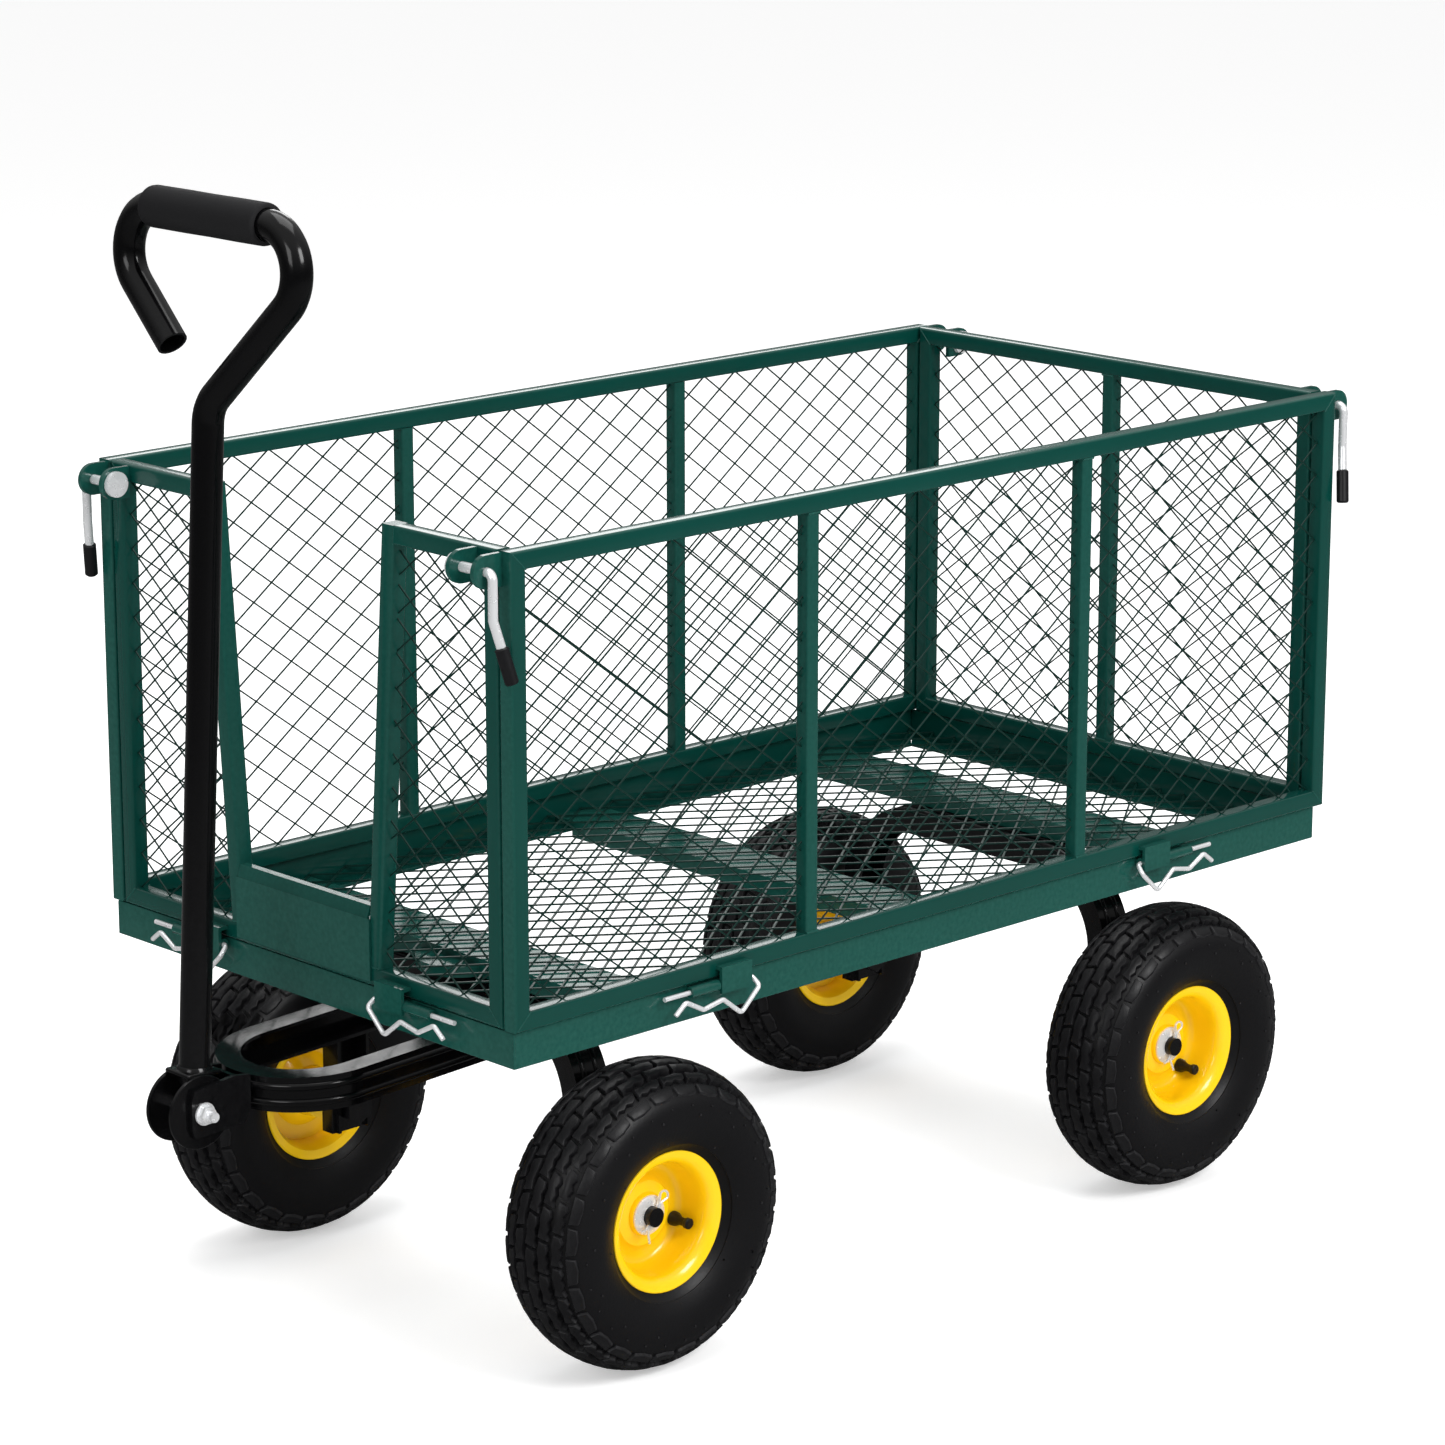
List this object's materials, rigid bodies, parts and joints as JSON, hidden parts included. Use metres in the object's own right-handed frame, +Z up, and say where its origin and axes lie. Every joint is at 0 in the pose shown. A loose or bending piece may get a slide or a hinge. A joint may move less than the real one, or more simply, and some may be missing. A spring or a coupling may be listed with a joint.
{
  "type": "garden cart",
  "caption": "Four-wheel garden cart with folding mesh sides, pneumatic tyres, a turning front axle and a swinging pull handle.",
  "frame": {"origin": "on the ground under the middle of the cart's whole outline", "axes": "+Z up, -Y towards the handle end, +X towards the right of someone who faces the handle end"},
  "size_m": [0.5334, 1.137, 0.943],
  "materials": {
    "green_paint": "gloss",
    "black_paint": "gloss",
    "zinc_plate": "satin",
    "yellow_rim": "gloss",
    "tyre_rubber": "matte",
    "black_rubber": "satin",
    "foam_grip": "matte"
  },
  "bodies": {
    "bed": {"bed_rails": "green_paint", "bed_beams": "green_paint", "bed_floor": "green_paint", "hinge_sleeves": "green_paint", "rear_arch": "black_paint", "rear_axles": "black_paint", "rear_axle_ends": "zinc_plate"},
    "steering": {"front_arch": "black_paint", "front_axles": "black_paint", "front_axle_ends": "zinc_plate", "yoke": "black_paint", "clevis": "black_paint", "pivot_bolts": "zinc_plate"},
    "handle": {"handle_tube": "black_paint", "handle_fork": "black_paint", "handle_grip": "foam_grip"},
    "wheel_fr": {"tyre_fr": "tyre_rubber", "rim_fr": "yellow_rim", "valve_fr": "black_rubber"},
    "wheel_fl": {"tyre_fl": "tyre_rubber", "rim_fl": "yellow_rim", "valve_fl": "black_rubber"},
    "wheel_rr": {"tyre_rr": "tyre_rubber", "rim_rr": "yellow_rim", "valve_rr": "black_rubber"},
    "wheel_rl": {"tyre_rl": "tyre_rubber", "rim_rl": "yellow_rim", "valve_rl": "black_rubber"},
    "right_panel": {"right_frame": "green_paint", "right_mesh": "green_paint", "right_fittings": "green_paint"},
    "left_panel": {"left_frame": "green_paint", "left_mesh": "green_paint", "left_fittings": "green_paint"},
    "front_panel": {"front_frame": "green_paint", "front_mesh": "green_paint", "front_fittings": "green_paint", "notch_plate": "green_paint", "front_pins": "zinc_plate"},
    "rear_panel": {"rear_frame": "green_paint", "rear_mesh": "green_paint", "rear_fittings": "green_paint", "rear_pins": "zinc_plate"},
    "latch_fr": {"lever_fr": "zinc_plate", "tip_fr": "black_rubber"},
    "latch_fl": {"lever_fl": "zinc_plate", "tip_fl": "black_rubber"},
    "latch_rr": {"lever_rr": "zinc_plate", "tip_rr": "black_rubber"},
    "latch_rl": {"lever_rl": "zinc_plate", "tip_rl": "black_rubber"},
    "hairpin_right_front_wire": {"hairpin_right_front": "zinc_plate"},
    "hairpin_right_rear_wire": {"hairpin_right_rear": "zinc_plate"},
    "hairpin_left_front_wire": {"hairpin_left_front": "zinc_plate"},
    "hairpin_left_rear_wire": {"hairpin_left_rear": "zinc_plate"},
    "hairpin_front_right_wire": {"hairpin_front_right": "zinc_plate"},
    "hairpin_front_left_wire": {"hairpin_front_left": "zinc_plate"},
    "hairpin_rear_right_wire": {"hairpin_rear_right": "zinc_plate"},
    "hairpin_rear_left_wire": {"hairpin_rear_left": "zinc_plate"}
  },
  "joints": [
    {"name": "steering_turn", "type": "hinge", "parent": "bed", "child": "steering", "pos_m": [0, -0.256, 0.29], "axis": [0, 0, 1], "range_deg": [-30, 30]},
    {"name": "handle_swing", "type": "hinge", "parent": "steering", "child": "handle", "pos_m": [0, -0.5385, 0.228], "axis": [1, 0, 0], "range_deg": [0, 80]},
    {"name": "wheel_spin_fr", "type": "hinge", "parent": "steering", "child": "wheel_fr", "pos_m": [0.2185, -0.256, 0.127], "axis": [1, 0, 0], "continuous": true},
    {"name": "wheel_spin_fl", "type": "hinge", "parent": "steering", "child": "wheel_fl", "pos_m": [-0.2185, -0.256, 0.127], "axis": [1, 0, 0], "continuous": true},
    {"name": "wheel_spin_rr", "type": "hinge", "parent": "bed", "child": "wheel_rr", "pos_m": [0.2185, 0.371, 0.127], "axis": [1, 0, 0], "continuous": true},
    {"name": "wheel_spin_rl", "type": "hinge", "parent": "bed", "child": "wheel_rl", "pos_m": [-0.2185, 0.371, 0.127], "axis": [1, 0, 0], "continuous": true},
    {"name": "right_panel_drop", "type": "hinge", "parent": "bed", "child": "right_panel", "pos_m": [0.257, 0.0575, 0.316], "axis": [0, 1, 0], "range_deg": [0, 90]},
    {"name": "left_panel_drop", "type": "hinge", "parent": "bed", "child": "left_panel", "pos_m": [-0.257, 0.0575, 0.316], "axis": [0, -1, 0], "range_deg": [0, 90]},
    {"name": "front_panel_drop", "type": "hinge", "parent": "bed", "child": "front_panel", "pos_m": [0, -0.4245, 0.316], "axis": [1, 0, 0], "range_deg": [0, 90]},
    {"name": "rear_panel_drop", "type": "hinge", "parent": "bed", "child": "rear_panel", "pos_m": [0, 0.5395, 0.316], "axis": [-1, 0, 0], "range_deg": [0, 90]},
    {"name": "latch_swing_fr", "type": "hinge", "parent": "right_panel", "child": "latch_fr", "pos_m": [0.246, -0.4345, 0.681], "axis": [-1, 0, 0], "range_deg": [0, 110]},
    {"name": "latch_swing_fl", "type": "hinge", "parent": "left_panel", "child": "latch_fl", "pos_m": [-0.246, -0.4345, 0.681], "axis": [-1, 0, 0], "range_deg": [0, 110]},
    {"name": "latch_swing_rr", "type": "hinge", "parent": "right_panel", "child": "latch_rr", "pos_m": [0.246, 0.5555, 0.681], "axis": [1, 0, 0], "range_deg": [0, 110]},
    {"name": "latch_swing_rl", "type": "hinge", "parent": "left_panel", "child": "latch_rl", "pos_m": [-0.246, 0.5555, 0.681], "axis": [1, 0, 0], "range_deg": [0, 110]},
    {"name": "hairpin_right_front_pull", "type": "slide", "parent": "bed", "child": "hairpin_right_front_wire", "axis": [0, 1, 0], "range_m": [0, 0.1]},
    {"name": "hairpin_right_rear_pull", "type": "slide", "parent": "bed", "child": "hairpin_right_rear_wire", "axis": [0, -1, 0], "range_m": [0, 0.1]},
    {"name": "hairpin_left_front_pull", "type": "slide", "parent": "bed", "child": "hairpin_left_front_wire", "axis": [0, 1, 0], "range_m": [0, 0.1]},
    {"name": "hairpin_left_rear_pull", "type": "slide", "parent": "bed", "child": "hairpin_left_rear_wire", "axis": [0, -1, 0], "range_m": [0, 0.1]},
    {"name": "hairpin_front_right_pull", "type": "slide", "parent": "bed", "child": "hairpin_front_right_wire", "axis": [-1, 0, 0], "range_m": [0, 0.086]},
    {"name": "hairpin_front_left_pull", "type": "slide", "parent": "bed", "child": "hairpin_front_left_wire", "axis": [1, 0, 0], "range_m": [0, 0.086]},
    {"name": "hairpin_rear_right_pull", "type": "slide", "parent": "bed", "child": "hairpin_rear_right_wire", "axis": [-1, 0, 0], "range_m": [0, 0.086]},
    {"name": "hairpin_rear_left_pull", "type": "slide", "parent": "bed", "child": "hairpin_rear_left_wire", "axis": [1, 0, 0], "range_m": [0, 0.086]}
  ]
}
